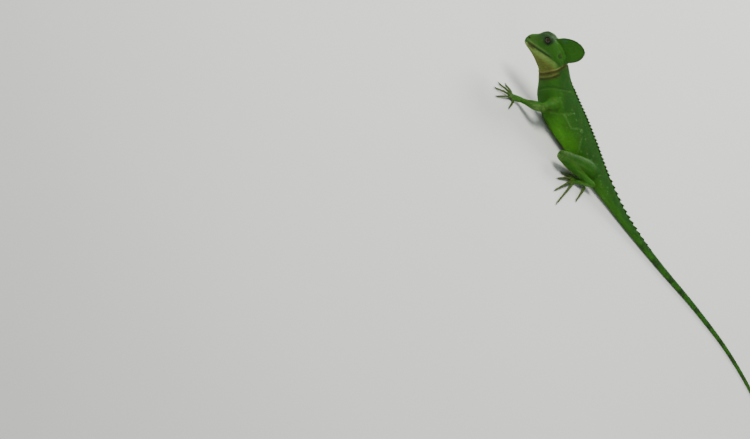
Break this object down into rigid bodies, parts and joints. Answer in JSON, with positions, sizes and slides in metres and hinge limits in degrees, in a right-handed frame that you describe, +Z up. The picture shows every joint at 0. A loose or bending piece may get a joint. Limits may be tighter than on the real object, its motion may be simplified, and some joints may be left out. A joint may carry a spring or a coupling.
{
  "type": "green basilisk lizard model",
  "caption": "Life-size still model of a green crested lizard resting on its belly and feet, neck raised, long tail trailing in a gentle curve.",
  "frame": {"origin": "on the floor, below the middle of the whole animal's box", "axes": "+X towards the head, +Y to the animal's left, +Z up"},
  "size_m": [0.6146, 0.1794, 0.0919],
  "materials": {
    "eye": "glossy, wet",
    "foot": "fine scales, satin",
    "tail_skin": "fine scales, satin",
    "head_skin": "fine scales, satin",
    "crest_skin": "fine scales, satin",
    "body_skin": "fine scales, satin",
    "limb_skin": "fine scales, satin"
  },
  "bodies": {
    "root": {"torso": "body_skin", "neck": "body_skin", "head": "head_skin", "head_crest": "crest_skin", "eye_left": "eye", "eye_right": "eye", "tail_base": "tail_skin", "tail_front": "tail_skin", "tail_rear": "tail_skin", "tail_tip": "tail_skin", "upper_arm_left": "limb_skin", "forearm_left": "limb_skin", "hand_left": "foot", "upper_arm_right": "limb_skin", "forearm_right": "limb_skin", "hand_right": "foot", "thigh_left": "limb_skin", "shank_left": "limb_skin", "foot_left": "foot", "thigh_right": "limb_skin", "shank_right": "limb_skin", "foot_right": "foot"}
  },
  "joints": []
}
